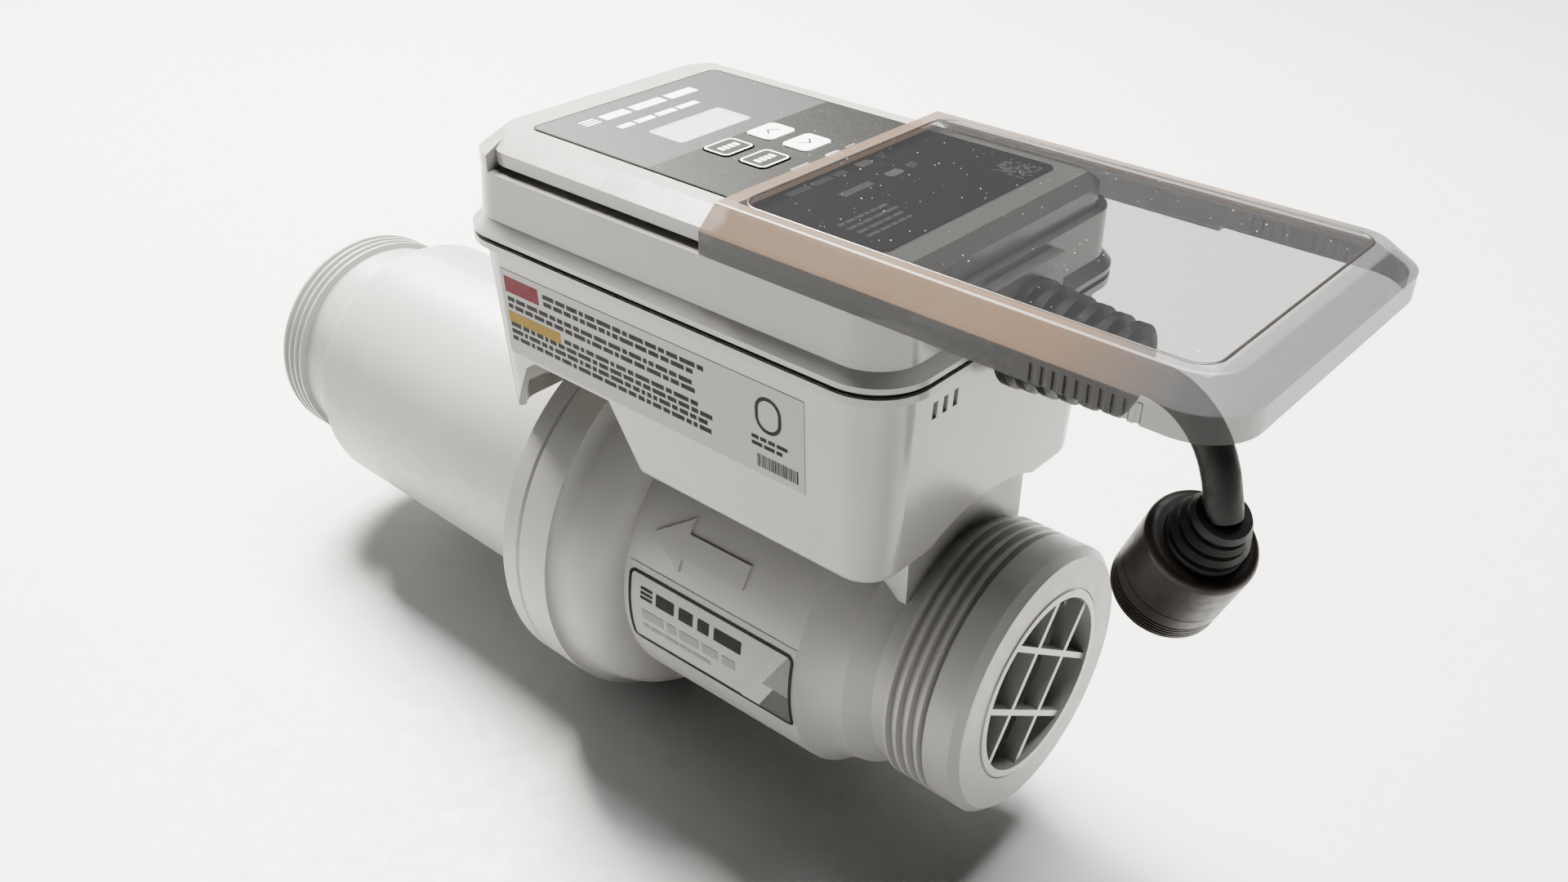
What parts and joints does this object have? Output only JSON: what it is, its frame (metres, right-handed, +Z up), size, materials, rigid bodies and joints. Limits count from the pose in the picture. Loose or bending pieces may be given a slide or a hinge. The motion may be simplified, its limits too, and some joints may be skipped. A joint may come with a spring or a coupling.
{
  "type": "salt chlorine generator",
  "caption": "Inline pool chlorine generator: a white flow cell with union threads and a guarded inlet, topped by a control box with a smoked sliding cover and a short power lead.",
  "frame": {"origin": "middle of the inlet's end face, on the pipe axis", "axes": "+X out of the inlet, water leaves towards -X, -Y the side with the rating label, +Z up through the control box"},
  "size_m": [0.3883, 0.135, 0.2065],
  "materials": {
    "white_pvc": "moulded, satin",
    "housing_plastic": "moulded, fine texture",
    "smoked_clear": "smoked clear, satin frame and polished window",
    "panel_film": "printed film, satin",
    "window_clear": "clear",
    "display_grey": "display cell",
    "key_print": "printed film dome",
    "light_lens": "frosted lens",
    "label_film": "printed label",
    "black_rubber": "moulded, ribbed",
    "seal_rubber": "soft seal",
    "black_plastic": "moulded",
    "board_laminate": "printed circuit",
    "coated_plate": "coated metal plate",
    "bare_metal": "stainless",
    "brass_contact": "plated",
    "inner_plastic": "moulded"
  },
  "bodies": {
    "unit": {"inlet_body": "white_pvc", "outlet_body": "white_pvc", "inlet_grille": "white_pvc", "electrode_plates": "coated_plate", "plate_combs": "inner_plastic", "electrode_terminals": "bare_metal", "terminal_seals": "seal_rubber", "flow_switch_body": "inner_plastic", "paddle_pin": "bare_metal", "temperature_probe": "bare_metal", "housing_tub": "housing_plastic", "rim_gasket": "seal_rubber", "housing_lid": "housing_plastic", "control_film": "panel_film", "display_window": "window_clear", "display_module": "display_grey", "key_switches": "black_plastic", "status_lights": "light_lens", "control_board": "board_laminate", "board_screws": "bare_metal", "power_board": "board_laminate", "power_parts": "black_plastic", "power_screws": "bare_metal", "tub_screws": "bare_metal", "side_label": "label_film", "body_label": "label_film", "strain_relief": "black_rubber", "power_cable": "black_rubber", "plug_body": "black_plastic", "plug_boot": "black_rubber", "plug_pins": "brass_contact"},
    "cover": {"sliding_cover": "smoked_clear"},
    "info_key": {"key_info": "key_print"},
    "up_key": {"key_up": "key_print"},
    "boost_key": {"key_boost": "key_print"},
    "down_key": {"key_down": "key_print"},
    "paddle": {"flow_paddle": "inner_plastic"},
    "coupling_ring": {"plug_ring": "black_plastic"}
  },
  "joints": [
    {"name": "cover_slide", "type": "slide", "parent": "unit", "child": "cover", "axis": [1, 0, 0], "range_m": [-0.081, 0.005]},
    {"name": "info_press", "type": "slide", "parent": "unit", "child": "info_key", "axis": [0, 0, -1], "range_m": [0, 0.0005], "stiffness_N_per_m": 400},
    {"name": "up_press", "type": "slide", "parent": "unit", "child": "up_key", "axis": [0, 0, -1], "range_m": [0, 0.0005], "stiffness_N_per_m": 400},
    {"name": "boost_press", "type": "slide", "parent": "unit", "child": "boost_key", "axis": [0, 0, -1], "range_m": [0, 0.0005], "stiffness_N_per_m": 400},
    {"name": "down_press", "type": "slide", "parent": "unit", "child": "down_key", "axis": [0, 0, -1], "range_m": [0, 0.0005], "stiffness_N_per_m": 400},
    {"name": "paddle_swing", "type": "hinge", "parent": "unit", "child": "paddle", "pos_m": [-0.046, 0, 0.027], "axis": [0, 1, 0], "range_deg": [0, 28]},
    {"name": "ring_turn", "type": "hinge", "parent": "unit", "child": "coupling_ring", "pos_m": [0.03042, 0.0053, 0.05066], "axis": [-0.3811, 0.2407, -0.8926], "range_deg": [0, 90]}
  ]
}
